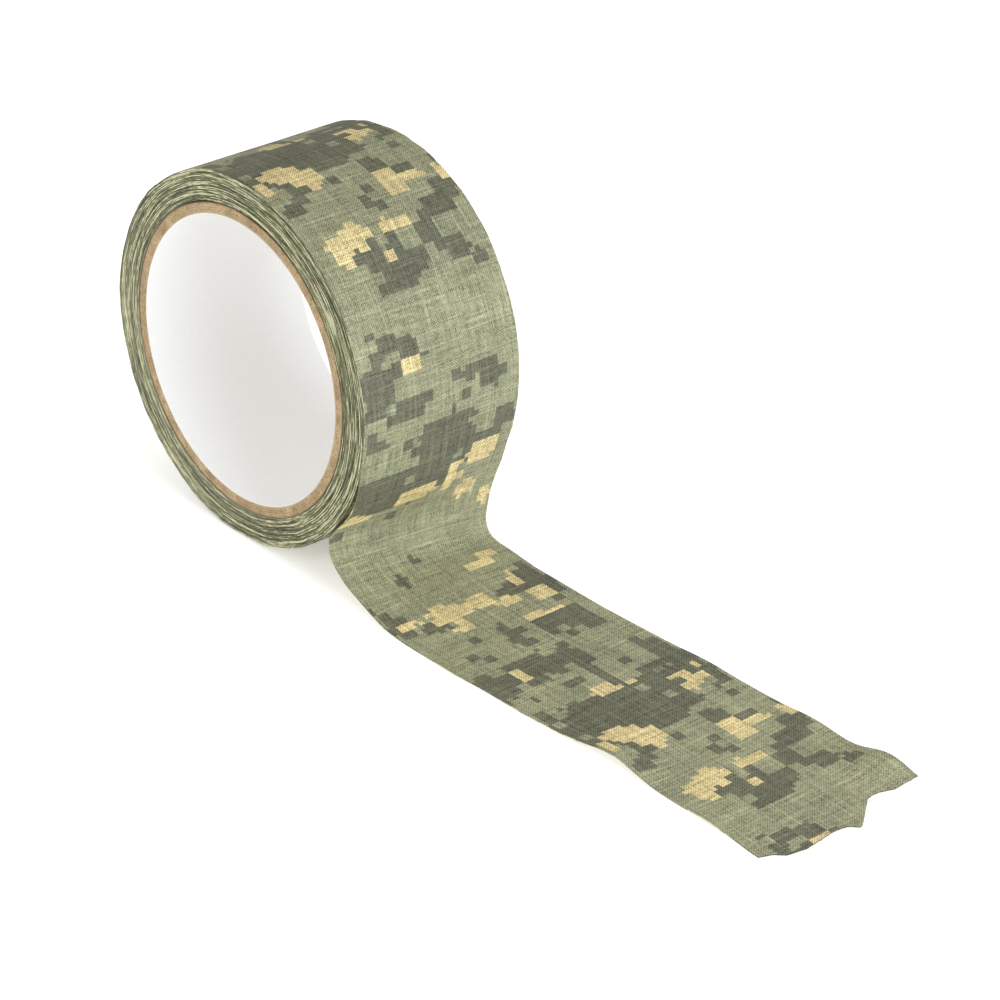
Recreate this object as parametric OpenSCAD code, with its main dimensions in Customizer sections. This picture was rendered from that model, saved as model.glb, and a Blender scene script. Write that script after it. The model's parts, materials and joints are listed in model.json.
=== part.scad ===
// Roll of cloth tape on a paperboard core, with a torn loose end lying on the floor.
// Millimetres. The origin is the middle of the core's bore, +Y runs along the bore, +Z is up,
// and the loose end runs towards +X.

/* [Core] */
// Diameter of the bore, a 3 inch core
bore_d = 76.2; // [50:0.1:110]
// Thickness of the white liner ply
liner_t = 0.4; // [0.2:0.05:0.6]
// Thickness of one kraft board ply
ply_t = 0.7; // [0.3:0.05:1.2]
// Width of the core along its bore
core_w = 50; // [20:0.5:80]

/* [Tape] */
// Width of the tape
tape_w = 50; // [20:0.5:80]
// Thickness of the woven cloth
cloth_t = 0.19; // [0.1:0.01:0.4]
// Thickness of the adhesive
adhesive_t = 0.065; // [0.03:0.005:0.15]
// Turns of tape on the core
turns = 32; // [4:1:60]

/* [Loose end] */
// Angle below level at which the tape leaves the roll
peel_deg = 25; // [5:1:30]
// Inner radius of the bend between the roll and the floor
bend_r = 9; // [3:0.5:12]
// Clear gap between the roll and the loose end
peel_gap = 0.3; // [0.1:0.05:1]
// Length that lies on the floor before the first fold line
foot_len = 26; // [8:1:60]
// Length from the first fold line to the second
run_len = 58; // [20:1:150]
// Length from the second fold line to the tear
tip_len = 60; // [20:1:150]
// Gap in the strip at each fold line
fold_gap = 0.4; // [0.3:0.05:1]

/* [Hidden] */
$fn = 180;

bore_r = bore_d / 2;
plies = 4;
core_r = bore_r + liner_t + plies * ply_t;  // outside of the core
tape_t = adhesive_t + cloth_t;              // one turn of tape
roll_r = core_r + turns * tape_t;           // outside of the outermost turn
floor_z = -(roll_r - tape_t / 2);           // underside of the roll, which the loose end lies on too

// The bend: a straight that leaves the roll at a tangent, then an arc down to the floor.
// Distances across the strip are counted from its sticky face.
hug_r = roll_r + peel_gap;                  // sticky face where the strip leaves the roll
outer_bend_r = bend_r + tape_t;             // sticky face round the bend
drop_len = (-floor_z - outer_bend_r - (hug_r + outer_bend_r) * sin(peel_deg)) / cos(peel_deg);
bend_x = (hug_r + outer_bend_r) * cos(peel_deg) - drop_len * sin(peel_deg);
bend_z = floor_z + outer_bend_r;
bend_steps = 24;                            // flats round the bend

fold_1_x = bend_x + foot_len;
fold_2_x = fold_1_x + run_len;
tear_x = fold_2_x + tip_len;

// The tear: place across the width as a share of it, and length past tear_x
TEAR = [[-0.5, -0.5], [-0.45, 0.8], [-0.4, 3], [-0.28, 4.2], [-0.05, 3.4], [0.03, 6], [0.17, 0.7],
    [0.26, -1.8], [0.4, -0.4], [0.5, -0.2]];

CLOTH = "#8c9276";
ADHESIVE = "#d8d3bd";
KRAFT = "#b8936a";
LINER = "#f4f3f0";

// A tube along Y
module tube(r_in, r_out, width) {
    rotate([90, 0, 0])
        difference() {
            cylinder(r = r_out, h = width, center = true);
            cylinder(r = r_in, h = width + 1, center = true);
        }
}

// Part of a tube along Y, about a line at x, from the +X side up and round through a sweep
module tube_part(x, r_in, r_out, sweep, width) {
    translate([x, 0, 0])
        rotate([90, 0, 0])
            rotate_extrude(angle = sweep)
                translate([r_in, -width / 2])
                    square([r_out - r_in, width]);
}

// The wound strip is a spiral of half turns about two centres that lie half a tape's thickness apart:
// upper halves run from the -X side over to the +X side, lower ones go on below from there.
// low and high are distances from the strip's sticky face.
module upper_half(i, low, high) {
    r = core_r + i * tape_t;
    tube_part(0, r + low, r + high, 180, tape_w);
}

module lower_part(i, sweep, low, high) {
    r = core_r + (i + 0.5) * tape_t;
    mirror([0, 0, 1])
        tube_part(-tape_t / 2, r + low, r + high, sweep, tape_w);
}

// One layer of all the turns but the outermost
module wound_layer(low, high) {
    for (i = [0:turns - 2]) upper_half(i, low, high);
    for (i = [0:turns - 3]) lower_part(i, 180, low, high);
}

// One layer of the outermost turn, which goes on below the +X side to where the loose end leaves it
module outer_layer(low, high) {
    lower_part(turns - 2, 180, low, high);
    upper_half(turns - 1, low, high);
    lower_part(turns - 1, peel_deg, low, high);
}

// The loose end's side at distance d from its sticky face, as [x, z] from the roll to the first fold line
function bend_side(d) = concat(
    [(hug_r + d) * [cos(peel_deg), -sin(peel_deg)]],
    [for (i = [0:bend_steps])
        let (a = 180 - peel_deg + i * (90 + peel_deg) / bend_steps)
            [bend_x, bend_z] + (outer_bend_r - d) * [cos(a), sin(a)]],
    [[fold_1_x - fold_gap / 2, floor_z + d]]);

function backwards(list) = [for (i = [len(list) - 1:-1:0]) list[i]];

// One layer of the loose end from the roll to the first fold line
module bend_layer(low, high) {
    rotate([90, 0, 0])
        linear_extrude(tape_w, center = true)
            polygon(concat(bend_side(low), backwards(bend_side(high))));
}

// One layer of the loose end that lies flat on the floor
module flat_layer(x_0, x_1, low, high) {
    translate([x_0, -tape_w / 2, floor_z + low])
        cube([x_1 - x_0, tape_w, high - low]);
}

// One layer of the torn tip
module tip_layer(low, high) {
    x_0 = fold_2_x + fold_gap / 2;
    tear = [for (p = TEAR) [tear_x + p[1], p[0] * tape_w]];
    translate([0, 0, floor_z + low])
        linear_extrude(high - low)
            polygon(concat([[x_0, -tape_w / 2]], tear, [[x_0, tape_w / 2]]));
}

module core_liner_ply() {
    color(LINER) tube(bore_r, bore_r + liner_t, core_w);
}

// Ply i of the core, counted outwards from 1
module core_kraft_ply(i) {
    r = bore_r + liner_t + (i - 1) * ply_t;
    color(KRAFT) tube(r, r + ply_t, core_w);
}

module wound_tape_cloth() {
    color(CLOTH) wound_layer(adhesive_t, tape_t);
}

module wound_tape_adhesive() {
    color(ADHESIVE) wound_layer(0, adhesive_t);
}

module outer_turn_cloth() {
    color(CLOTH) outer_layer(adhesive_t, tape_t);
}

module outer_turn_adhesive() {
    color(ADHESIVE) outer_layer(0, adhesive_t);
}

module tail_bend_cloth() {
    color(CLOTH) bend_layer(adhesive_t, tape_t);
}

module tail_bend_adhesive() {
    color(ADHESIVE) bend_layer(0, adhesive_t);
}

module tail_run_cloth() {
    color(CLOTH) flat_layer(fold_1_x + fold_gap / 2, fold_2_x - fold_gap / 2, adhesive_t, tape_t);
}

module tail_run_adhesive() {
    color(ADHESIVE) flat_layer(fold_1_x + fold_gap / 2, fold_2_x - fold_gap / 2, 0, adhesive_t);
}

module tail_tip_cloth() {
    color(CLOTH) tip_layer(adhesive_t, tape_t);
}

module tail_tip_adhesive() {
    color(ADHESIVE) tip_layer(0, adhesive_t);
}

core_liner_ply();
core_kraft_ply(1);  // core_kraft_ply_1
core_kraft_ply(2);  // core_kraft_ply_2
core_kraft_ply(3);  // core_kraft_ply_3
core_kraft_ply(4);  // core_kraft_ply_4
wound_tape_cloth();
wound_tape_adhesive();
outer_turn_cloth();
outer_turn_adhesive();
tail_bend_cloth();
tail_bend_adhesive();
tail_run_cloth();
tail_run_adhesive();
tail_tip_cloth();
tail_tip_adhesive();
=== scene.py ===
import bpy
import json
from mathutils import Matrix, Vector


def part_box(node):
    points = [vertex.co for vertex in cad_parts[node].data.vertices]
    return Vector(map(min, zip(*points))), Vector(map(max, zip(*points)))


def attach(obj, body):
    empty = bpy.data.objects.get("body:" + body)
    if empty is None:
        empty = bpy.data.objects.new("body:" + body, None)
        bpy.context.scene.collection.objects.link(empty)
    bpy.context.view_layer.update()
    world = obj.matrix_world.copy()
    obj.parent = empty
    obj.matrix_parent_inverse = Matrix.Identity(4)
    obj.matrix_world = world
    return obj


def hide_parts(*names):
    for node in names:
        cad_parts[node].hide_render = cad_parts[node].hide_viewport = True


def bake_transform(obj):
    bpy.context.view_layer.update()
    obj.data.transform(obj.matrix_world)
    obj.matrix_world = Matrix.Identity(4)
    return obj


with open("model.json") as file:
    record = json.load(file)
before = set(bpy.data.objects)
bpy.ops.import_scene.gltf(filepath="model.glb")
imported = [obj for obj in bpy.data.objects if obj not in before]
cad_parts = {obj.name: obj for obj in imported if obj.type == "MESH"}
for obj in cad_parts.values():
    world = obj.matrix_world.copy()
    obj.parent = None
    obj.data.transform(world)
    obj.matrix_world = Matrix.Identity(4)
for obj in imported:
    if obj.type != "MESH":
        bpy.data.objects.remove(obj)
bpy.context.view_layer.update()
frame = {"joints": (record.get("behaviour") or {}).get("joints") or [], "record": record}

import json
import math
import random

import bmesh
import bpy
from mathutils import Matrix, Vector, noise

# Lengths below are millimetres, as tape and cores are measured. Each mesh is made in millimetres
# too, and brought to metres once it is finished.
mm = 0.001


def nodeBox(node):
    low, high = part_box(node)
    return [c / mm for c in low], [c / mm for c in high]


def jointX(name):
    return next(j["pos_m"][0] / mm for j in frame["joints"] if j["name"] == name)


mounts = {mount["name"]: mount for mount in frame["record"]["mounts"]}
boreR = mounts["core_bore"]["dims"]["r_mm"]
plyR = [boreR]
for plyName in ["core_liner_ply"] + ["core_kraft_ply_%d" % (i + 1) for i in range(4)]:
    plyR.append(nodeBox(plyName)[1][2])
coreR = plyR[-1]
rollR = nodeBox("outer_turn_cloth")[1][2]
halfWidth = nodeBox("wound_tape_cloth")[1][1]
floorZ = nodeBox("tail_run_adhesive")[0][2]
adhesiveT = nodeBox("tail_run_adhesive")[1][2] - floorZ
tapeT = nodeBox("tail_run_cloth")[1][2] - floorZ
clothT = tapeT - adhesiveT
fold1X = jointX("tail_lift")
fold2X = jointX("tail_curl")


# Small helpers

def smoothStep(low, high, value):
    t = min(max((value - low) / (high - low), 0.0), 1.0)
    return t * t * (3.0 - 2.0 * t)


def hump(distance, width):
    return math.exp(-(distance / width) ** 2)


def throughPoints(points, value):
    if value <= points[0][0]:
        return points[0][1]
    for (x0, h0), (x1, h1) in zip(points, points[1:]):
        if value <= x1:
            return h0 + (h1 - h0) * (value - x0) / (x1 - x0)
    return points[-1][1]


def wander(value, seed):
    return noise.noise(Vector((value, 7.3 * seed, 1.7 * seed)))


# A smooth line through a few points, as a function of the share of its length
def lineThrough(points):
    ends = [points[0]] + points + [points[-1]]
    line = []
    for p0, p1, p2, p3 in zip(ends, ends[1:], ends[2:], ends[3:]):
        for i in range(16):
            t = i / 16.0
            line.append(0.5 * (2.0 * p1 + (p2 - p0) * t + (2.0 * p0 - 5.0 * p1 + 4.0 * p2 - p3) * t * t
                               + (3.0 * p1 - p0 - 3.0 * p2 + p3) * t ** 3))
    line.append(points[-1])
    length = [0.0]
    for a, b in zip(line, line[1:]):
        length.append(length[-1] + (b - a).length)

    def at(share):
        want = share * length[-1]
        for i in range(len(line) - 1):
            if want <= length[i + 1]:
                return line[i].lerp(line[i + 1], (want - length[i]) / max(length[i + 1] - length[i], 1e-9))
        return line[-1]

    return at, length[-1]


# Turns a finished bmesh in millimetres into an object in metres
def makeObject(name, bm, materials, body=None):
    bmesh.ops.scale(bm, vec=(mm, mm, mm), verts=bm.verts)
    mesh = bpy.data.meshes.new(name)
    bm.to_mesh(mesh)
    bm.free()
    for material in materials:
        mesh.materials.append(material)
    obj = bpy.data.objects.new(name, mesh)
    bpy.context.scene.collection.objects.link(obj)
    if body:
        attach(obj, body)
    return obj


def sharpBetweenMaterials(bm):
    for face in bm.faces:
        face.smooth = True
    for edge in bm.edges:
        if len({face.material_index for face in edge.link_faces}) > 1:
            edge.smooth = False


# Materials of a strip of tape, by face
printedSide = 0
stickySide = 1
cutSide = 2


# A strip of tape, made flat as a grid in (share of length, place across), given its thickness, and
# then laid along its path. Its map, "tape", holds millimetres along and across the tape.
def tapeSlab(name, steps, rows, place, arc, materials, body=None):
    bm = bmesh.new()
    last = len(rows) - 1
    bmesh.ops.create_grid(bm, x_segments=steps, y_segments=last, size=0.5)
    for vert in bm.verts:
        vert.co = (vert.co.x + 0.5, rows[round((vert.co.y + 0.5) * last)], 0.0)
    top = set(bm.faces)
    under = bmesh.ops.extrude_face_region(bm, geom=list(bm.faces))["geom"]
    underFaces = {part for part in under if isinstance(part, bmesh.types.BMFace)}
    for part in under:
        if isinstance(part, bmesh.types.BMVert):
            part.co.z = 1.0
    uv = bm.loops.layers.uv.new("tape")
    for face in bm.faces:
        face.material_index = printedSide if face in top else stickySide if face in underFaces else cutSide
        for loop in face.loops:
            share, y, depth = loop.vert.co
            loop[uv].uv = (arc(share, y), y - 0.2 * depth if face.material_index == cutSide else y)
    for vert in bm.verts:
        vert.co = place(*vert.co)
    bmesh.ops.recalc_face_normals(bm, faces=bm.faces)
    sharpBetweenMaterials(bm)
    return makeObject(name, bm, materials, body)


# Places across the tape: some close to each edge, and even steps between
def rowsAcross(nearEdge, inner, steps):
    left = [gap - halfWidth for gap in nearEdge]
    stepWidth = 2.0 * (halfWidth - inner) / steps
    middle = [inner - halfWidth + i * stepWidth for i in range(steps + 1)]
    return left + middle + [-y for y in reversed(left)]


# Shader helpers: a value is a socket, a number or a vector

def plug(tree, socket, value):
    if isinstance(value, bpy.types.NodeSocket):
        tree.links.new(value, socket)
    else:
        socket.default_value = value


def addNode(tree, kind, inputs, **settings):
    node = tree.nodes.new(kind)
    for name, value in settings.items():
        setattr(node, name, value)
    for name, value in inputs.items():
        plug(tree, node.inputs[name], value)
    return node


def calc(tree, operation, *values):
    node = addNode(tree, "ShaderNodeMath", dict(enumerate(values)), operation=operation)
    return node.outputs[0]


def vectorCalc(tree, operation, *values):
    node = addNode(tree, "ShaderNodeVectorMath", dict(enumerate(values)), operation=operation)
    return node.outputs[0]


def split(tree, vector):
    return addNode(tree, "ShaderNodeSeparateXYZ", {0: vector}).outputs


def joined(tree, x, y=0.0):
    return addNode(tree, "ShaderNodeCombineXYZ", {0: x, 1: y}).outputs[0]


# How far each seed moves a pattern, so that no two uses show the same part of it
noiseStep = (17.3, 9.1, 3.7)
whiteStep = (31.7, 11.9, 5.3)


def noiseAt(tree, place, scale, detail=2.0, seed=0.0, dimensions="3D"):
    moved = vectorCalc(tree, "ADD", place, [seed * step for step in noiseStep])
    node = addNode(tree, "ShaderNodeTexNoise", {"Vector": moved, "Scale": scale, "Detail": detail},
                   noise_dimensions=dimensions)
    return node.outputs[0]


def whiteAt(tree, place, seed=0.0):
    moved = vectorCalc(tree, "ADD", place, [seed * step for step in whiteStep])
    return addNode(tree, "ShaderNodeTexWhiteNoise", {"Vector": moved}, noise_dimensions="3D").outputs["Value"]


def mixColour(tree, share, a, b, kind="MIX"):
    node = addNode(tree, "ShaderNodeMix", {}, data_type="RGBA", blend_type=kind)
    plug(tree, node.inputs[0], share)
    plug(tree, node.inputs[6], a)
    plug(tree, node.inputs[7], b)
    return node.outputs[2]


def mapRange(tree, value, low, high, newLow=0.0, newHigh=1.0):
    node = addNode(tree, "ShaderNodeMapRange", {0: value, 1: low, 2: high, 3: newLow, 4: newHigh})
    return node.outputs[0]


# Goes from one (place, value) to another
def between(tree, value, start, end):
    return mapRange(tree, value, start[0], end[0], start[1], end[1])


def newGroup(name, inputs, outputs):
    tree = bpy.data.node_groups.new(name, "ShaderNodeTree")
    for socketName, kind in inputs.items():
        tree.interface.new_socket(socketName, in_out="INPUT", socket_type=kind)
    for socketName, kind in outputs.items():
        tree.interface.new_socket(socketName, in_out="OUTPUT", socket_type=kind)
    return tree, tree.nodes.new("NodeGroupInput").outputs, tree.nodes.new("NodeGroupOutput").inputs


def useGroup(tree, group, inputs):
    node = tree.nodes.new("ShaderNodeGroup")
    node.node_tree = group
    for name, value in inputs.items():
        plug(tree, node.inputs[name], value)
    return node.outputs


def newMaterial(name):
    material = bpy.data.materials.new(name)
    material.use_nodes = True
    tree = material.node_tree
    return material, tree, tree.nodes["Principled BSDF"]


def addBump(tree, shader, height, strength, distance):
    node = addNode(tree, "ShaderNodeBump", {"Height": height, "Strength": strength, "Distance": distance})
    tree.links.new(node.outputs[0], shader.inputs["Normal"])


# The weave: thread heights and tones of a plain-woven cloth, with painted shade in the gaps between
# threads. Place is in millimetres along and across the tape.
weave = {
    "pitch": 0.38,
    "roundness": 0.6,
    "tone": 0.705,
    # how much the tone rises with thread height: painted shade in the gaps between threads
    "gap": 0.5,
    "checker": 0.5,
    "speckle": 0.5,
    "threadTone": 1.1,
    "alongDrift": 0.07,
    "acrossDrift": 0.09,
    "slub": 0.34,
    "slubHeight": 0.4,
    "slubScale": 0.73,
    "alongSlub": (0.74, 0.84),
    "acrossSlub": (0.7, 0.82),
}


def makeWeaveGroup():
    tree, given, made = newGroup("plainWeave", {"Place": "NodeSocketVector"},
                                 {"Tone": "NodeSocketFloat", "Height": "NodeSocketFloat"})
    fine = vectorCalc(tree, "SCALE", given["Place"])
    fine.node.inputs["Scale"].default_value = 1.0 / weave["pitch"]
    index = vectorCalc(tree, "FLOOR", fine)
    at = split(tree, vectorCalc(tree, "SUBTRACT", vectorCalc(tree, "FRACTION", fine), (0.5, 0.5, 0.0)))
    number = split(tree, index)
    crown = calc(tree, "MULTIPLY", calc(tree, "COSINE", calc(tree, "MULTIPLY", at[0], math.pi)),
                 calc(tree, "COSINE", calc(tree, "MULTIPLY", at[1], math.pi)))
    height = calc(tree, "POWER", calc(tree, "MAXIMUM", crown, 0.0), weave["roundness"])
    acrossOnTop = calc(tree, "PINGPONG", calc(tree, "ADD", number[0], number[1]), 1.0)

    # One tone per thread, which drifts slowly along it
    apart = 3.17
    place = split(tree, given["Place"])
    alongKey = joined(tree, calc(tree, "MULTIPLY", place[0], weave["alongDrift"]),
                      calc(tree, "MULTIPLY", number[1], apart))
    acrossKey = joined(tree, calc(tree, "MULTIPLY", number[0], apart),
                       calc(tree, "MULTIPLY", place[1], weave["acrossDrift"]))
    alongTone = noiseAt(tree, alongKey, 1.0, 0.0, 1.0, "2D")
    acrossTone = noiseAt(tree, acrossKey, 1.0, 0.0, 2.0, "2D")
    threadTone = addNode(tree, "ShaderNodeMix", {0: acrossOnTop, 2: alongTone, 3: acrossTone}).outputs[0]
    bothTone = calc(tree, "MULTIPLY", calc(tree, "ADD", alongTone, acrossTone), 0.5)
    mixedTone = calc(tree, "MULTIPLY", calc(tree, "ADD", threadTone, bothTone), 0.5)

    # A few thicker and paler threads
    alongSlub = noiseAt(tree, alongKey, weave["slubScale"], 0.0, 3.0, "2D")
    acrossSlub = noiseAt(tree, acrossKey, weave["slubScale"], 0.0, 4.0, "2D")
    slub = calc(tree, "MAXIMUM", mapRange(tree, alongSlub, *weave["alongSlub"]),
                mapRange(tree, acrossSlub, *weave["acrossSlub"]))

    tone = calc(tree, "SUBTRACT", mixedTone, 0.5)
    tone = calc(tree, "MULTIPLY_ADD", tone, weave["threadTone"], weave["tone"])
    tone = calc(tree, "MULTIPLY_ADD", slub, weave["slub"], tone)
    # painted shade: darker in the gaps between threads, lighter on their crowns
    tone = calc(tree, "MULTIPLY_ADD", height, weave["gap"], tone)
    tone = calc(tree, "MULTIPLY_ADD", calc(tree, "SUBTRACT", 0.5, acrossOnTop), weave["checker"], tone)
    speckle = calc(tree, "SUBTRACT", whiteAt(tree, index, 1.0), 0.5)
    tone = calc(tree, "MULTIPLY_ADD", speckle, weave["speckle"], tone)
    plug(tree, made["Tone"], tone)
    plug(tree, made["Height"], calc(tree, "MULTIPLY_ADD", slub, weave["slubHeight"], height))
    return tree


# The print: dark masses and tan patches with stepped outlines, in square cells of two sizes. It
# repeats along the tape. Each patch is (along, across, half its length, half its width). Its value
# is 1 at its middle, 0 at its edge and less outside, and a cell is printed above a level.
camo = {
    "cell": 3.0,
    "start": -37.0,
    "repeat": 215.0,
    "largeCells": 0.66,  # share of the blocks that aren't cut into small cells
    "scatter": 0.26,  # how much the outlines step from cell to cell
    "darkRagged": 0.5,  # and how much they wander
    "darkLevel": -0.03,
    "darkLoose": (-1.1, 0.88),  # value where loose squares begin, and share that stays plain close in
    "tanRagged": 0.35,
    "tanLevel": 0.06,
    "tanLoose": (-1.0, 0.97),
    "whole": 0.87,  # share of the dark squares near an edge that aren't left out
    "greyLevel": 0.48,
    "sage": (0.264, 0.262, 0.158, 1.0),
    "greySage": (0.235, 0.247, 0.152, 1.0),
    "dark": (0.125, 0.123, 0.081, 1.0),
    "tan": (0.57, 0.463, 0.228, 1.0),
    "darkPatches": [
        (113, -8, 12, 22), (107, 17, 8, 11), (132, -21, 2, 2), (130, -18, 2, 2), (127, -15, 2, 2),
        (-19, -22, 2, 2), (-17, -19, 2, 2), (-32, -21, 7, 6), (-39, -10, 6, 6), (-46, -11, 2, 2),
        (-23, -11, 3, 6), (-26, -6, 2, 2), (-26, 16, 4, 4), (-28, 9, 2, 4), (-6, 2, 12, 10),
        (1, -17, 8, 11), (-6, 17, 2, 8), (-12, 21, 4, 3), (17, -23, 2, 2), (22, -21, 1, 1),
        (34, -10, 2, 2), (29, -2, 2, 2), (49, -22, 6, 3), (54, -14, 3, 4), (52, 14, 3, 7),
        (51, 22, 5, 4), (69, -1, 6, 3), (71, 14, 6, 7), (65, -10, 2, 2), (72, -14, 2, 3),
        (84, -8, 6, 10), (84, 2, 6, 4), (84, -22, 6, 4), (92, 2, 5, 2), (94, -7, 2, 2),
        (94, 21, 4, 4), (138, -1, 2, 3), (126, 9, 3, 4), (130, 16, 2, 4), (140, 21, 3, 4),
        (150, -10, 5, 4), (155, -1, 6, 6), (149, 10, 6, 3), (144, 16, 3, 5), (156, 15, 3, 4),
        (160, 20, 2, 2), (176, -19, 3, 2), (174, -14, 2, 3), (177, -9, 4, 3),
    ],
    "tanPatches": [
        (119, -15, 4, 6), (123, -12, 3, 3), (125, -9, 4, 3), (121, -22, 3, 2), (148, -17, 5, 4),
        (145, -11, 4, 4), (145, 1, 2, 5), (134, 9, 5, 4), (134, 16, 2, 4), (153, -5, 2, 2),
        (136, 24, 4, 2), (-36, -10, 2, 4), (-38, -15, 2, 1), (6, -3, 3, 8), (3, 8, 6, 3), (-2, 16, 4, 5),
        (11, 15, 3, 4), (16, 23, 3, 2), (10, -20, 2, 6), (49, -19, 2, 4), (51, -7, 5, 6),
        (51, 3, 3, 4), (55, 9, 2, 5), (57, -7, 3, 2), (38, 13, 2, 4), (34, 18, 2, 2),
        (48, 17, 4, 2), (57, 18, 4, 2), (69, -18, 2, 2), (84, -14, 2, 2), (65, 12, 1, 6),
        (102, -3, 2, 5), (102, 5, 1, 4), (108, 15, 2, 3), (113, 15, 2, 3), (111, 19, 2, 2),
        (107, 22, 2, 1),
    ],
}


def makePatchGroup():
    tree, given, made = newGroup("camoPatch", {"Place": "NodeSocketVector", "Centre": "NodeSocketVector",
                                               "Reach": "NodeSocketVector", "Others": "NodeSocketFloat"},
                                 {"Value": "NodeSocketFloat"})
    offset = vectorCalc(tree, "DIVIDE", vectorCalc(tree, "SUBTRACT", given["Place"], given["Centre"]),
                        given["Reach"])
    distance = addNode(tree, "ShaderNodeVectorMath", {0: offset}, operation="LENGTH").outputs["Value"]
    plug(tree, made["Value"], calc(tree, "MAXIMUM", calc(tree, "SUBTRACT", 1.0, distance), given["Others"]))
    return tree


def makeCamoGroup():
    tree, given, made = newGroup("blockCamo", {"Place": "NodeSocketVector"}, {"Color": "NodeSocketColor"})
    cell = camo["cell"]
    at = split(tree, given["Place"])
    wrapped = joined(tree, calc(tree, "WRAP", at[0], camo["start"] + camo["repeat"], camo["start"]), at[1])

    def snapped(size):
        corner = vectorCalc(tree, "SNAP", wrapped, (size, size, 1.0))
        return vectorCalc(tree, "ADD", corner, (0.5 * size, 0.5 * size, 0.0))

    useSmall = calc(tree, "GREATER_THAN", whiteAt(tree, snapped(2.0 * cell), 1.0), camo["largeCells"])
    place = addNode(tree, "ShaderNodeMix", {0: useSmall, 4: snapped(cell), 5: snapped(0.5 * cell)},
                    data_type="VECTOR").outputs[1]
    scatter = calc(tree, "SUBTRACT", whiteAt(tree, place, 2.0), 0.5)

    # The highest value of all the patches, handed on from one to the next
    def masses(patches, roughness, seed):
        field = -9.0
        for along, across, reachAlong, reachAcross in patches:
            reach = (reachAlong + 0.01, reachAcross + 0.01, 1.0)
            around = useGroup(tree, patchGroup, {"Place": place, "Centre": (along, across, 0.0),
                                                 "Reach": reach, "Others": field})
            field = around["Value"]
        ragged = calc(tree, "SUBTRACT", noiseAt(tree, place, 0.3, 0.0, seed, "2D"), 0.5)
        field = calc(tree, "MULTIPLY_ADD", ragged, roughness, field)
        return calc(tree, "MULTIPLY_ADD", scatter, camo["scatter"], field)

    # The masses, with loose squares near them
    def printed(mass, level, loose, seed):
        outside = mapRange(tree, mass, loose[0], -0.2, 1.0, loose[1])
        squares = calc(tree, "GREATER_THAN", whiteAt(tree, snapped(cell), seed), outside)
        return calc(tree, "MAXIMUM", calc(tree, "GREATER_THAN", mass, level), squares)

    mass = masses(camo["darkPatches"], camo["darkRagged"], 3.0)
    dark = printed(mass, camo["darkLevel"], camo["darkLoose"], 11.0)
    tanMass = masses(camo["tanPatches"], camo["tanRagged"], 5.0)
    tan = printed(tanMass, camo["tanLevel"], camo["tanLoose"], 13.0)

    # Sage squares near the edge of the dark, and a greyer sage round it
    near = mapRange(tree, mass, 0.05, 0.5, camo["whole"], 1.0)
    hole = calc(tree, "GREATER_THAN", whiteAt(tree, snapped(cell), 5.0), near)
    dark = calc(tree, "MULTIPLY", dark, calc(tree, "SUBTRACT", 1.0, hole))
    greyMass = calc(tree, "MULTIPLY_ADD", whiteAt(tree, place, 7.0), 0.8, mass)
    grey = calc(tree, "GREATER_THAN", greyMass, camo["greyLevel"])
    colour = mixColour(tree, grey, camo["sage"], camo["greySage"])
    colour = mixColour(tree, dark, colour, camo["dark"])
    colour = mixColour(tree, tan, colour, camo["tan"])
    plug(tree, made["Color"], colour)
    return tree


weaveGroup = makeWeaveGroup()
patchGroup = makePatchGroup()
camoGroup = makeCamoGroup()


def tapePlace(tree):
    return addNode(tree, "ShaderNodeUVMap", {}, uv_map="tape").outputs[0]


# The print's edges bleed a little. Painted light: the cloth is painted darker on the roll, as painted shade,
# and paler where the tape lies on the floor, most of all at the bend, as painted highlight. Pairs are
# (millimetres along the tape or from the bend, brightness).
cloth = {
    "bleed": 0.5,
    "cloud": 0.07,
    "shadeOnRoll": (-90.0, 0.94),
    "lightOnFloor": (60.0, 1.05),
    "bendAt": 19.0,
    "litBend": (8.0, 1.1),
    "pastLitBend": (26.0, 1.0),
}


def makePrintedCloth():
    material, tree, shader = newMaterial("printedCloth")
    place = tapePlace(tree)
    wobble = addNode(tree, "ShaderNodeTexNoise", {"Vector": place, "Scale": 0.9, "Detail": 1.0},
                     noise_dimensions="2D").outputs["Color"]
    bleed = vectorCalc(tree, "MULTIPLY", vectorCalc(tree, "SUBTRACT", wobble, (0.5, 0.5, 0.5)),
                       (cloth["bleed"], cloth["bleed"], 0.0))
    threads = useGroup(tree, weaveGroup, {"Place": place})
    pattern = useGroup(tree, camoGroup, {"Place": vectorCalc(tree, "ADD", place, bleed)})
    cloud = mapRange(tree, noiseAt(tree, place, 0.06, 3.0, 5.0, "2D"), 0.3, 0.7,
                     1.0 - cloth["cloud"], 1.0 + cloth["cloud"])
    along = split(tree, place)[0]
    fromBend = calc(tree, "ABSOLUTE", calc(tree, "SUBTRACT", along, cloth["bendAt"]))
    # Painted light: darker on the roll as painted shade, paler on the floor and palest at the bend as painted
    # highlight
    paintedLight = calc(tree, "MULTIPLY", between(tree, along, cloth["shadeOnRoll"], cloth["lightOnFloor"]),
                between(tree, fromBend, cloth["litBend"], cloth["pastLitBend"]))
    shade = calc(tree, "MULTIPLY", threads["Tone"], calc(tree, "MULTIPLY", cloud, paintedLight))
    shadeColour = addNode(tree, "ShaderNodeCombineColor", {0: shade, 1: shade, 2: shade}).outputs[0]
    colour = mixColour(tree, 1.0, pattern["Color"], shadeColour, "MULTIPLY")
    plug(tree, shader.inputs["Base Color"], colour)
    plug(tree, shader.inputs["Roughness"], mapRange(tree, threads["Height"], 0.0, 1.0, 0.75, 0.58))
    shader.inputs["Specular IOR Level"].default_value = 0.25
    addBump(tree, shader, threads["Height"], 0.35, 0.00008)
    return material


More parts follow.
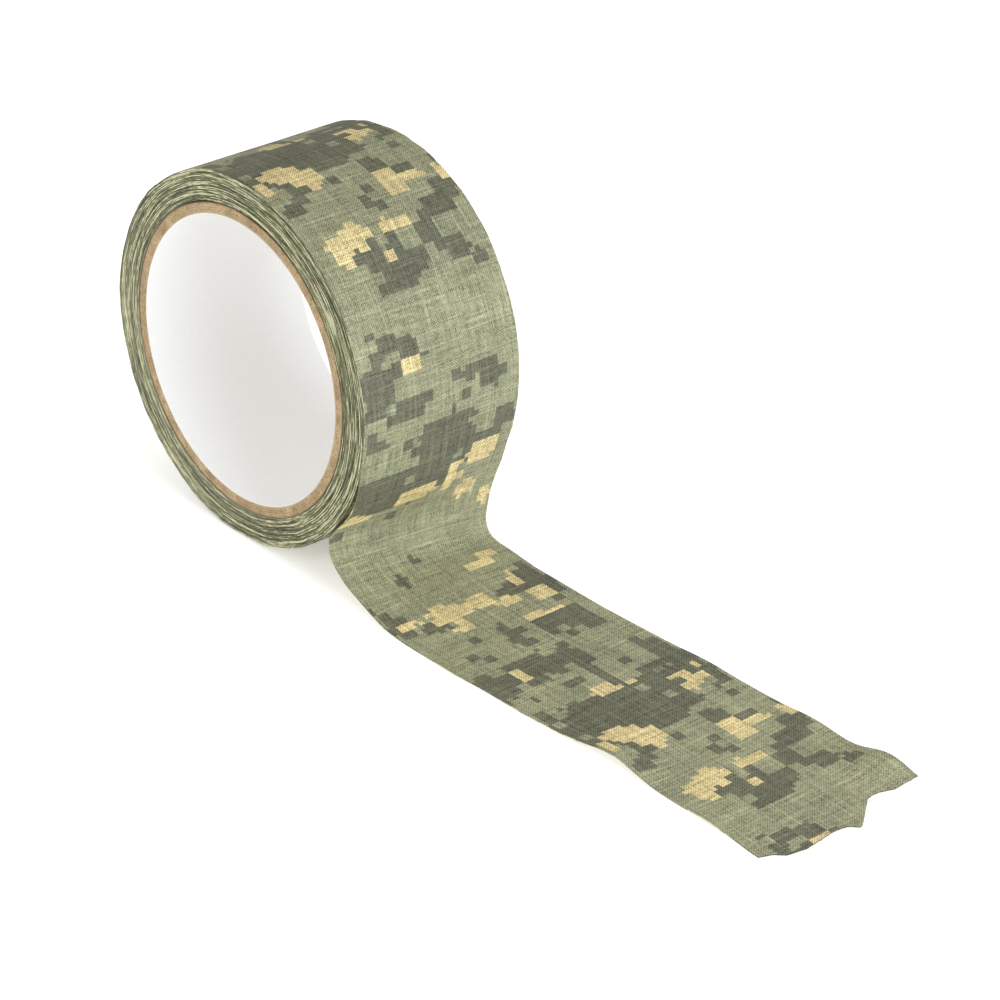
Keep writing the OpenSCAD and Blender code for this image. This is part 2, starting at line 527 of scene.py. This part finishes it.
# Cut edges of the tape: long streaks, pale where the cut shows the inside of the threads, and
# near-black where painted shade stands for the gaps between turns
cut = {
    "streaks": 0.06,
    "fine": 0.4,
    "fineShare": 0.5,
    "tones": [
        # this first tone, darker than the dark print, is painted shade of the gaps between turns
        (0.36, (0.03, 0.034, 0.013, 1.0)),
        (0.46, (0.125, 0.135, 0.065, 1.0)),
        (0.57, (0.225, 0.235, 0.128, 1.0)),
        (0.68, (0.62, 0.60, 0.38, 1.0)),
    ],
}


def makeCutEdge():
    material, tree, shader = newMaterial("cutEdge")
    along = joined(tree, split(tree, tapePlace(tree))[0])
    streaks = noiseAt(tree, along, cut["streaks"], 2.0, 1.0, "2D")
    fine = noiseAt(tree, along, cut["fine"], 3.0, 2.0, "2D")
    tone = calc(tree, "MULTIPLY_ADD", calc(tree, "SUBTRACT", fine, 0.5), cut["fineShare"], streaks)
    ramp = tree.nodes.new("ShaderNodeValToRGB")
    stops = ramp.color_ramp.elements
    for stop, tones in zip(stops, (cut["tones"][0], cut["tones"][-1])):
        stop.position, stop.color = tones
    for position, colour in cut["tones"][1:-1]:
        stops.new(position).color = colour
    plug(tree, ramp.inputs[0], tone)
    plug(tree, shader.inputs["Base Color"], ramp.outputs[0])
    shader.inputs["Roughness"].default_value = 0.85
    addBump(tree, shader, fine, 0.5, 0.0001)
    return material


adhesiveLook = {"thin": (0.42, 0.39, 0.27, 1.0), "thick": (0.62, 0.58, 0.44, 1.0)}


def makeAdhesive():
    material, tree, shader = newMaterial("adhesive")
    place = tapePlace(tree)
    threads = useGroup(tree, weaveGroup, {"Place": place})
    smear = noiseAt(tree, place, 0.4, 3.0, 1.0, "2D")
    colour = mixColour(tree, smear, adhesiveLook["thin"], adhesiveLook["thick"])
    plug(tree, shader.inputs["Base Color"], colour)
    plug(tree, shader.inputs["Roughness"], mapRange(tree, smear, 0.3, 0.7, 0.3, 0.5))
    addBump(tree, shader, threads["Height"], 0.15, 0.00005)
    return material


# The materials below read metres on the object, so their scales are per metre

def objectPlace(tree):
    return addNode(tree, "ShaderNodeTexCoord", {}).outputs["Object"]


# Distance from the roll's axis
def radiusOf(tree, place):
    at = split(tree, place)
    return calc(tree, "SQRT", calc(tree, "ADD", calc(tree, "MULTIPLY", at[0], at[0]),
                                   calc(tree, "MULTIPLY", at[2], at[2])))


# Kraft board, with dark flecks, and a dark ring painted just inside the wound tape as painted
# shade of the gap between core and tape
kraft = {
    "dark": (0.28, 0.2, 0.108, 1.0),
    "pale": (0.48, 0.355, 0.2, 1.0),
    "fleck": (0.2, 0.115, 0.05, 1.0),
    "fleckLevel": (0.57, 0.66),
    "coreGapShade": (0.06, 0.036, 0.012, 1.0),
    "coreGapShadeDepth": (0.55, 0.25),
    "thinCoreGapShade": 0.5,
}


def makeKraft():
    material, tree, shader = newMaterial("kraftBoard")
    place = objectPlace(tree)
    blotch = noiseAt(tree, place, 260.0, 4.0, 1.0)
    fleck = noiseAt(tree, place, 2300.0, 2.0, 2.0)
    colour = mixColour(tree, mapRange(tree, blotch, 0.3, 0.7), kraft["dark"], kraft["pale"])
    colour = mixColour(tree, mapRange(tree, fleck, *kraft["fleckLevel"]), colour, kraft["fleck"])
    # painted shade: the dark ring where the wound tape meets the core
    coreGapShade = mapRange(tree, radiusOf(tree, place), *[(coreR - depth) * mm for depth in kraft["coreGapShadeDepth"]])
    spread = mapRange(tree, noiseAt(tree, place, 45.0, 2.0, 4.0), 0.3, 0.55, kraft["thinCoreGapShade"], 1.0)
    colour = mixColour(tree, calc(tree, "MULTIPLY", coreGapShade, spread), colour, kraft["coreGapShade"])
    plug(tree, shader.inputs["Base Color"], colour)
    shader.inputs["Roughness"].default_value = 0.9
    addBump(tree, shader, fleck, 0.3, 0.0001)
    return material


threadEndLook = {"dark": (0.2, 0.205, 0.12, 1.0), "pale": (0.62, 0.58, 0.4, 1.0)}


def makeThreadEnds():
    material, tree, shader = newMaterial("threadEnds")
    tone = noiseAt(tree, objectPlace(tree), 350.0, 2.0, 1.0)
    share = mapRange(tree, tone, 0.35, 0.65)
    colour = mixColour(tree, share, threadEndLook["dark"], threadEndLook["pale"])
    plug(tree, shader.inputs["Base Color"], colour)
    shader.inputs["Roughness"].default_value = 0.9
    addBump(tree, shader, tone, 0.2, 0.00003)
    return material


# White paper, which shows its brown back on its cut ends
liner = {
    "dark": (0.80, 0.79, 0.775, 1.0),
    "pale": (0.85, 0.84, 0.825, 1.0),
    "back": (0.46, 0.36, 0.24, 1.0),
    "backDepth": (0.05, 0.12),
}


def makeLinerPaper():
    material, tree, shader = newMaterial("linerPaper")
    place = objectPlace(tree)
    fibre = noiseAt(tree, place, 900.0, 4.0, 1.0)
    colour = mixColour(tree, fibre, liner["dark"], liner["pale"])
    back = mapRange(tree, radiusOf(tree, place), *[(boreR + depth) * mm for depth in liner["backDepth"]])
    plug(tree, shader.inputs["Base Color"], mixColour(tree, back, colour, liner["back"]))
    plug(tree, shader.inputs["Roughness"], mapRange(tree, fibre, 0.0, 1.0, 0.4, 0.5))
    addBump(tree, shader, fibre, 0.08, 0.00005)
    return material


printedCloth = makePrintedCloth()
cutEdge = makeCutEdge()
adhesive = makeAdhesive()
kraftBoard = makeKraft()
linerPaper = makeLinerPaper()
threadEnds = makeThreadEnds()
tapeMaterials = [printedCloth, adhesive, cutEdge]


# The core: a white liner ply and four kraft plies, each a spun ring with soft, slightly rough rims
core = {"chamfer": 0.07, "crown": 0.02, "rough": 0.07, "segments": 240, "sharpAbove": 35.0}


def makePly(name, rIn, rOut, material, node, seed):
    chamfer = core["chamfer"]
    corner = halfWidth - chamfer
    half = [(rIn, corner), (rIn + chamfer, halfWidth), (0.5 * (rIn + rOut), halfWidth + core["crown"]),
            (rOut - chamfer, halfWidth), (rOut, corner)]
    outline = [(r, -y) for r, y in half] + half[::-1]
    bm = bmesh.new()
    corners = [bm.verts.new((r, y, 0.0)) for r, y in outline]
    edges = [bm.edges.new((a, b)) for a, b in zip(corners, corners[1:] + corners[:1])]
    bmesh.ops.spin(bm, geom=corners + edges, cent=(0, 0, 0), axis=(0, 1, 0), angle=2.0 * math.pi,
                   steps=core["segments"], use_merge=True)
    for vert in bm.verts:
        if abs(vert.co.y) > halfWidth - 1.5 * chamfer:
            vert.co.y += core["rough"] * noise.noise(vert.co * 0.9 + Vector((seed, 0, 0)))
    bmesh.ops.recalc_face_normals(bm, faces=bm.faces)
    for face in bm.faces:
        face.smooth = True
    for edge in bm.edges:
        edge.smooth = edge.calc_face_angle(0.0) < math.radians(core["sharpAbove"])
    ply = makeObject(name, bm, [material], "roll")
    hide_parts(node)
    return ply


makePly("linerPly", plyR[0], plyR[1], linerPaper, "core_liner_ply", 0)
for i in range(1, 5):
    makePly("kraftPly%d" % i, plyR[i], plyR[i + 1], kraftBoard, "core_kraft_ply_%d" % i, i)
print("core made")


# The wound tape: one spiral from where the loose end leaves the roll back to the core, with places
# counted in turns back from there. The outer turn is a full turn and what is left to angle 0.
peelDeg = -25.0
wound = {
    "peelR": rollR + tapeT * (90.0 - peelDeg) / 360.0,
    "outerTurns": (360.0 - peelDeg) / 360.0,
    "ripple": 0.42,
    "edgeDrift": 0.24,
    "adhesiveRecess": 0.22,
    "outerSteps": 420,
    "stepsPerTurn": 150,
}
woundTurns = (wound["peelR"] - tapeT - coreR) / tapeT


def spiralR(turn):
    return wound["peelR"] - tapeT * turn


def spiralArc(turn):
    return -2.0 * math.pi * (wound["peelR"] * turn - 0.5 * tapeT * turn * turn)


# Noise round the roll: a larger size gives shorter waves
def noiseRound(angle, size, offset):
    return noise.noise(Vector((size * math.cos(angle), size * math.sin(angle), offset)))


def spiralPoint(turn, y, depth):
    angle = math.radians(peelDeg) + 2.0 * math.pi * turn
    r = spiralR(turn)

    # Long, middle and short waves, strongest at the cut edges and in the outer turns
    slack = 0.3 + 0.7 * smoothStep(0.2, 1.0, abs(math.sin(angle)))
    wave = noiseRound(angle, 2.3, y / 18.0) + 0.5 * noiseRound(angle, 6.0, 5.0 + y / 9.0 + 0.25 * r)
    wave += 0.65 * slack * noiseRound(angle, 17.0, 9.0 + 0.15 * r)
    atEdge = 0.22 + 0.78 * abs(y / halfWidth) ** 5
    wave *= wound["ripple"] * atEdge * smoothStep(coreR, rollR, r)

    # Nothing bulges into the floor or the loose end, or stands in its way as it is peeled round
    free = smoothStep(0.5, 9.0, r * math.sin(angle) - floorZ)
    if turn < 0.5:
        free = min(free, smoothStep(0.0, 0.1, turn))
    wave *= free if wave > 0.0 else smoothStep(0.0, 0.15, turn)
    wave = min(wave, wound["peelR"] - r - 0.01)
    r += wave - depth

    # The cut edges drift in and out
    arc = spiralArc(turn)
    drift = 0.35 * noiseRound(angle, 3.0, 0.9 * r)
    drift += 0.75 * wander(arc / 8.0, 1) + 0.35 * wander(arc / 2.3, 2)
    drift *= wound["edgeDrift"] * smoothStep(0.8 * halfWidth, halfWidth, abs(y))
    return (r * math.cos(angle), y + math.copysign(drift, y), r * math.sin(angle))


def alongSpiral(start, end, top, bottom, recess=0.0):
    def place(share, y, depth):
        y -= math.copysign(recess, y) if abs(y) > halfWidth - 0.01 else 0.0
        return spiralPoint(start + (end - start) * share, y, top + (bottom - top) * depth)

    def arc(share, y):
        return spiralArc(start + (end - start) * share)

    return place, arc


fineRows = rowsAcross([0.0, 0.35, 1.0], 2.2, 26)
fewRows = rowsAcross([0.0, 0.4, 1.6], 5.0, 1)

place, arc = alongSpiral(0.0, wound["outerTurns"], 0.0, tapeT)
outerTurn = tapeSlab("outerTurn", wound["outerSteps"], fineRows, place, arc, tapeMaterials, "roll")
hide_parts("outer_turn_cloth", "outer_turn_adhesive")
print("outer turn made")

innerSteps = int((woundTurns - wound["outerTurns"]) * wound["stepsPerTurn"])
place, arc = alongSpiral(wound["outerTurns"], woundTurns, 0.0, clothT)
woundCloth = tapeSlab("woundCloth", innerSteps, fewRows, place, arc, tapeMaterials, "roll")
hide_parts("wound_tape_cloth")

place, arc = alongSpiral(wound["outerTurns"], woundTurns, clothT, tapeT, wound["adhesiveRecess"])
adhesiveRows = [-halfWidth, 0.0, halfWidth]
woundAdhesive = tapeSlab("woundAdhesive", innerSteps, adhesiveRows, place, arc, [adhesive], "roll")
# It has one material, on every side
for polygon in woundAdhesive.data.polygons:
    polygon.material_index = 0
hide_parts("wound_tape_adhesive")
print("wound tape made, %.1f turns" % woundTurns)


# The loose end. Its two edges follow different lines where it leaves the roll, as [x, z] of the
# printed side; after that it lies on the floor.
tail = {
    "nearEdge": [(48.71, -10.35), (47.8, -14.6), (46.9, -18.95), (45.15, -23.5), (42.35, -27.5),
                 (39.75, -30.5), (37.4, -33.65), (36.9, -36.9), (38.0, -39.0), (40.2, -41.3),
                 (44.6, -44.0), (50.1, -46.0), (58.3, -47.9), (66.0, -48.95), (72.4, -49.08)],
    "farEdge": [(48.71, -10.35), (47.67, -14.57), (45.9, -19.6), (44.9, -22.9), (43.8, -26.2),
                (42.5, -29.6), (41.4, -33.0), (40.5, -36.3), (40.0, -39.5), (39.6, -42.5),
                (39.7, -45.2), (41.2, -47.8), (44.2, -48.95), (50.0, -49.08), (61.0, -49.08),
                (72.4, -49.08)],
    # sideways, by the length along the strip
    "drift": [(0, 0.0), (18, 0.0), (47, -1.2), (58, -2.2), (83, -2.2), (107, -1.0), (122, 0.0), (157, 0.8)],
    # how far along x the tear reaches, by the place across
    "tear": [(-25, 189.4), (-22, 190.6), (-20, 192.8), (-14.6, 193.8), (-5, 192.9), (-0.8, 193.4),
             (1.3, 195.7), (8.2, 190.4), (11.4, 188.0), (14.3, 187.8), (18, 189.4), (25, 189.2)],
    # waves of the edges and the middle off the floor: (x, height, reach)
    "nearWaves": [(140.0, 2.7, 11.0), (172.0, 0.5, 7.0), (96.0, 0.35, 9.0)],
    "farWaves": [(180.0, 2.3, 7.5), (157.0, 0.9, 9.0), (120.0, 0.4, 8.0)],
    "middleWave": 0.25,
    # the torn end is a little wider: (how much, from x, to x)
    "nearFlare": (0.7, 178.0, 190.0),
    "farFlare": (1.6, 168.0, 186.0),
    # it grows out of the outer turn, from this many degrees above where it leaves it
    "startDeg": 13.0,
    "feather": 4.0,
    "thinEnd": 0.03,
    "seamX": 101.0,
    # where each fold would start and end round its hinge line, mostly past it; these places are worked out
    # below but used nowhere
    "beforeFold": 3.5,
    "afterFold": 12.5,
}
layX = tail["nearEdge"][-1][0]
nearLine, nearLength = lineThrough([Vector((x, 0.0, z)) for x, z in tail["nearEdge"]])
farLine, farLength = lineThrough([Vector((x, 0.0, z)) for x, z in tail["farEdge"]])
bendLength = 0.5 * (nearLength + farLength)
startArc = -math.radians(tail["startDeg"]) * spiralR(0.02)


def lift(x, y):
    near = sum(height * hump(x - at, reach) for at, height, reach in tail["nearWaves"])
    far = sum(height * hump(x - at, reach) for at, height, reach in tail["farWaves"])
    near *= smoothStep(-6.0, -25.0, y) ** 2
    far *= smoothStep(8.0, 25.0, y) ** 2
    middle = tail["middleWave"] * (1.0 + wander(x / 14.0, 4)) * smoothStep(78.0, 100.0, x)
    return near + far + middle * hump(y, 20.0)


# The strip's thickness, at a length from where it grows out of the outer turn
def stripT(length):
    return tail["thinEnd"] + (tapeT - tail["thinEnd"]) * min(length / tail["feather"], 1.0)


# A point of the printed side, at a length along the strip from where it is modelled to start
def tailFace(length, y):
    across = 0.5 + 0.5 * y / halfWidth
    if length < bendLength:
        share = length / bendLength
        point = nearLine(share).lerp(farLine(share), across)
        if length < tail["feather"]:
            outward = Vector((point.x, 0.0, point.z)).normalized()
            point -= outward * (tapeT - stripT(length))
    else:
        x = layX + length - bendLength
        point = Vector((x, 0.0, floorZ + tapeT + lift(x, y)))
    wider, start, end = tail["farFlare"] if y > 0.0 else tail["nearFlare"]
    wider *= smoothStep(start, end, point.x)
    point.y = y * (1.0 + wider / halfWidth * abs(y / halfWidth) ** 3) + throughPoints(tail["drift"], length)
    return point


def alongTail(start, end):
    def lengthAt(share, y):
        finish = end(y) if callable(end) else end
        return start + (finish - start) * share

    def place(share, y, depth):
        length = lengthAt(share, y)
        point = tailFace(length, y)
        if depth == 0.0:
            return point
        ahead = tailFace(length + 0.2, y) - tailFace(max(length - 0.2, 0.0), y)
        sideways = tailFace(length, y + 0.1) - tailFace(length, y - 0.1)
        normal = ahead.cross(sideways).normalized()
        return point - normal * stripT(length) * depth

    def arc(share, y):
        return startArc + lengthAt(share, y)

    return place, arc


def tearLength(y):
    x = throughPoints(tail["tear"], y) + 0.12 * wander(y / 0.9, 3) + 0.2 * wander(y / 3.0, 5)
    return x - layX + bendLength


seamLength = tail["seamX"] - layX + bendLength
tailRows = rowsAcross([0.0, 0.4], 1.0, 46)
foldStart = [((x - tail["beforeFold"]) * mm, 0, floorZ * mm) for x in (fold1X, fold2X)]
foldEnd = [((x + tail["afterFold"]) * mm, 0, floorZ * mm) for x in (fold1X, fold2X)]

place, arc = alongTail(0.0, seamLength)
tailBend = tapeSlab("tailBendTape", 220, tailRows, place, arc, tapeMaterials)
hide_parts("tail_bend_cloth", "tail_bend_adhesive", "tail_run_cloth", "tail_run_adhesive")
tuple(foldStart[0])
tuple(foldEnd[0])
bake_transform(tailBend)

place, arc = alongTail(seamLength, tearLength)
tailTip = tapeSlab("tailTipTape", 180, tailRows, place, arc, tapeMaterials)
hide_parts("tail_tip_cloth", "tail_tip_adhesive")
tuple(foldStart[1])
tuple(foldEnd[1])
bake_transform(tailTip)


# Loose thread ends along the cut edges and, longer, along the tear. edgeAt gives a point of the
# edge and the way out from it. Each kind is (shortest, longest, sideways, upward).
fringe = {
    "pitch": 0.38,
    "skipped": 0.3,
    "radius": 0.055,
    "tipRadius": 0.022,
    "root": 0.12,
    "side": (0.1, 0.38, 0.5, 0.3),
    "roll": (0.08, 0.25, 0.2, 0.0),
    "tear": (0.25, 1.5, 0.5, 0.3),
}


def makeFringe(name, runs, seed, body=None):
    luck = random.Random(seed)
    bm = bmesh.new()
    for start, end, kind, edgeAt in runs:
        shortest, longest, sideways, upward = fringe[kind]
        for i in range(int((end - start) / fringe["pitch"])):
            if luck.random() < fringe["skipped"]:
                continue
            point, out = edgeAt(start + (i + luck.random()) * fringe["pitch"])
            sway = Vector((luck.uniform(-1.0, 1.0), luck.uniform(-1.0, 1.0), 0.0)) * sideways
            out = (out + sway + Vector((0.0, 0.0, luck.uniform(0.0, upward)))).normalized()
            reach = shortest + (longest - shortest) * luck.random() ** 3
            turn = out.to_track_quat("Z", "Y").to_matrix().to_4x4()
            middle = Matrix.Translation(point + out * 0.5 * (reach - fringe["root"]))
            bmesh.ops.create_cone(bm, cap_ends=True, segments=4, radius1=fringe["radius"],
                                  radius2=fringe["tipRadius"], depth=reach + fringe["root"],
                                  matrix=middle @ turn)
    for face in bm.faces:
        face.smooth = True
    piece = makeObject(name, bm, [threadEnds], body)
    return piece


# The ends grow from a little below the printed side
below = Vector((0.0, 0.0, 0.1))


def tailSide(side):
    def edgeAt(length):
        point = tailFace(length, side * halfWidth)
        inside = tailFace(length, side * (halfWidth - 1.0))
        return point - below, (point - inside).normalized()

    return edgeAt


def tearEdge(place):
    y = place - halfWidth
    point = tailFace(tearLength(y), y)
    return point - below, (point - tailFace(tearLength(y) - 1.0, y)).normalized()


def rollSide(side):
    def edgeAt(length):
        turn = length / (2.0 * math.pi * rollR)
        return Vector(spiralPoint(turn, side * halfWidth, 0.17)), Vector((0.0, side, 0.0))

    return edgeAt


sides = (-1, 1)
bendRuns = [(tail["feather"], seamLength, "side", tailSide(side)) for side in sides]
bendFringe = makeFringe("tailBendFringe", bendRuns, 3)
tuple(foldStart[0])
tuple(foldEnd[0])
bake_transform(bendFringe)
tipRuns = [(seamLength, tearLength(side * halfWidth), "side", tailSide(side)) for side in sides]
tipRuns.append((0.2, 2.0 * halfWidth - 0.2, "tear", tearEdge))
tipFringe = makeFringe("tailTipFringe", tipRuns, 5)
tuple(foldStart[1])
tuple(foldEnd[1])
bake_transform(tipFringe)
makeFringe("rollFringe", [(14.0, 300.0, "roll", rollSide(side)) for side in sides], 7, "roll")

# The tip's flat length is to the mean of the tear
tipLength = sum(tearLength(y) for y in range(-25, 26)) / 51.0 - seamLength
print("loose end made, %.1f and %.1f mm" % (seamLength, tipLength))


# The floor, the light and the camera
stage = {
    "floorHalf": 4000.0,
    "floorGap": 0.05,
    "floorDark": (0.93, 0.93, 0.93, 1.0),
    "floorPale": (0.96, 0.96, 0.96, 1.0),
    "floorGlow": 0.35,
    "worldColour": (1.0, 0.995, 0.96, 1.0),
    "worldStrength": 0.73,
}


def makeFloor():
    material, tree, shader = newMaterial("paleFloor")
    grain = noiseAt(tree, objectPlace(tree), 14.0, 3.0, 1.0)
    plug(tree, shader.inputs["Base Color"], mixColour(tree, grain, stage["floorDark"], stage["floorPale"]))
    shader.inputs["Roughness"].default_value = 0.9
    shader.inputs["Emission Color"].default_value = (1.0, 1.0, 1.0, 1.0)
    shader.inputs["Emission Strength"].default_value = stage["floorGlow"]
    bm = bmesh.new()
    bmesh.ops.create_grid(bm, x_segments=8, y_segments=8, size=stage["floorHalf"])
    bmesh.ops.translate(bm, verts=bm.verts, vec=(0.0, 0.0, floorZ - stage["floorGap"]))
    makeObject("floor", bm, [material])


def setWorld():
    world = bpy.data.worlds.new("world")
    bpy.context.scene.world = world
    world.use_nodes = True
    background = world.node_tree.nodes["Background"]
    background.inputs["Color"].default_value = stage["worldColour"]
    background.inputs["Strength"].default_value = stage["worldStrength"]


# Soft round lights: place, what they point at, size, watts and colour
lights = {
    "keyLight": ((1100.0, -50.0, 380.0), (30.0, 0.0, -20.0), 700.0, 8.0, (0.87, 0.94, 1.05)),
    "frontFill": ((-300.0, -1300.0, 450.0), (0.0, 0.0, -20.0), 900.0, 6.0, (1.0, 1.0, 1.0)),
    "backFill": ((100.0, 1300.0, 400.0), (0.0, 0.0, -20.0), 900.0, 4.0, (1.0, 1.0, 1.0)),
}


def addLight(name, place, aim, size, power, colour):
    data = bpy.data.lights.new(name, "AREA")
    data.shape = "DISK"
    data.size = size * mm
    data.energy = power
    data.color = colour
    light = bpy.data.objects.new(name, data)
    light.location = Vector(place) * mm
    light.rotation_euler = (Vector(aim) - Vector(place)).to_track_quat("-Z", "Y").to_euler()
    bpy.context.scene.collection.objects.link(light)


camera = {
    "place": (702.65, -572.57, 454.45),
    "turn": (61.03, -1.7, 48.73),
    "lens": 143.7,
    "sensor": 36.0,
}


def addCamera():
    data = bpy.data.cameras.new("camera")
    data.lens = camera["lens"]
    data.sensor_width = camera["sensor"]
    obj = bpy.data.objects.new("camera", data)
    obj.location = Vector(camera["place"]) * mm
    obj.rotation_euler = [math.radians(angle) for angle in camera["turn"]]
    bpy.context.scene.collection.objects.link(obj)
    bpy.context.scene.camera = obj


makeFloor()
setWorld()
for name, settings in lights.items():
    addLight(name, *settings)
addCamera()
bpy.context.scene.view_settings.view_transform = "Standard"
print("stage made")
